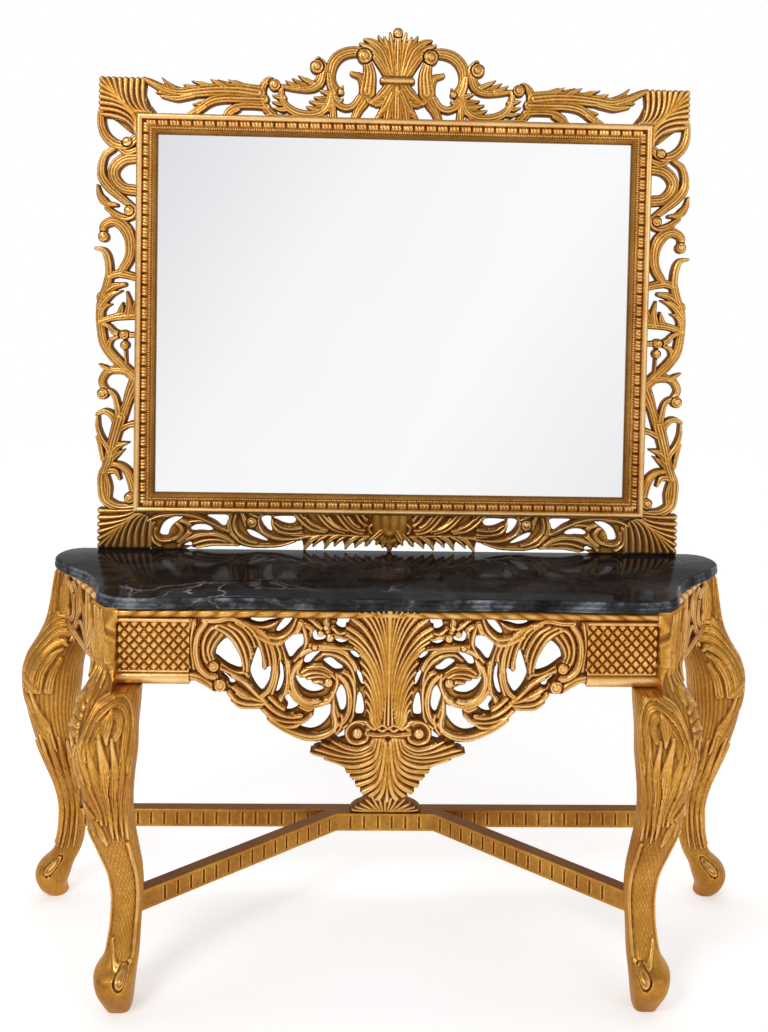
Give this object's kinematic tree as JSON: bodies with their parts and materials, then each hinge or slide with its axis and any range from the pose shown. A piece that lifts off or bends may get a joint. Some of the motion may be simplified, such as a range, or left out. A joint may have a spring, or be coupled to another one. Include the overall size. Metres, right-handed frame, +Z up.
{
  "type": "console table with mirror",
  "caption": "Gilded carved console table on cabriole legs with a black marble top, a pierced apron and a notched stretcher, and a wide carved mirror that stands on the marble.",
  "frame": {"origin": "centre of the bounding box at floor level; the wall plane is y = +0.25 m", "axes": "+Z up, the front faces -Y, the width runs along X"},
  "size_m": [1.6852, 0.5, 2.041],
  "materials": {
    "gilt": "antique gold leaf over carved wood, satin",
    "marble": "polished black marble with thin white veins",
    "mirror": "silvered glass",
    "bare_wood": "unfinished wood",
    "steel": "zinc plated"
  },
  "bodies": {
    "root": {"marble_top": "marble", "front_left_leg": "gilt", "front_right_leg": "gilt", "back_left_leg": "gilt", "back_right_leg": "gilt", "apron_moulding": "gilt", "apron_plume": "gilt", "apron_scroll_left": "gilt", "apron_scroll_right": "gilt", "apron_lattice_left": "gilt", "apron_lattice_right": "gilt", "side_apron_left": "gilt", "side_apron_right": "gilt", "back_rail": "bare_wood", "cross_rail_left": "bare_wood", "cross_rail_right": "bare_wood", "stretcher_rail": "gilt", "stretcher_block": "gilt", "stretcher_leaf": "gilt", "stretcher_arm_left": "gilt", "stretcher_arm_right": "gilt", "stretcher_screws": "steel", "mirror_glass": "mirror", "backing_board": "bare_wood", "moulding_top": "gilt", "moulding_bottom": "gilt", "moulding_left": "gilt", "moulding_right": "gilt", "shell_top_left": "gilt", "shell_top_right": "gilt", "shell_bottom_left": "gilt", "shell_bottom_right": "gilt", "crest": "gilt", "top_carving_left": "gilt", "top_carving_right": "gilt", "side_carving_left": "gilt", "side_carving_right": "gilt", "bottom_carving_left": "gilt", "bottom_carving_right": "gilt", "bottom_shell": "gilt", "backing_clips": "steel", "hanger_plates": "steel", "hanger_screws": "steel"}
  },
  "joints": []
}
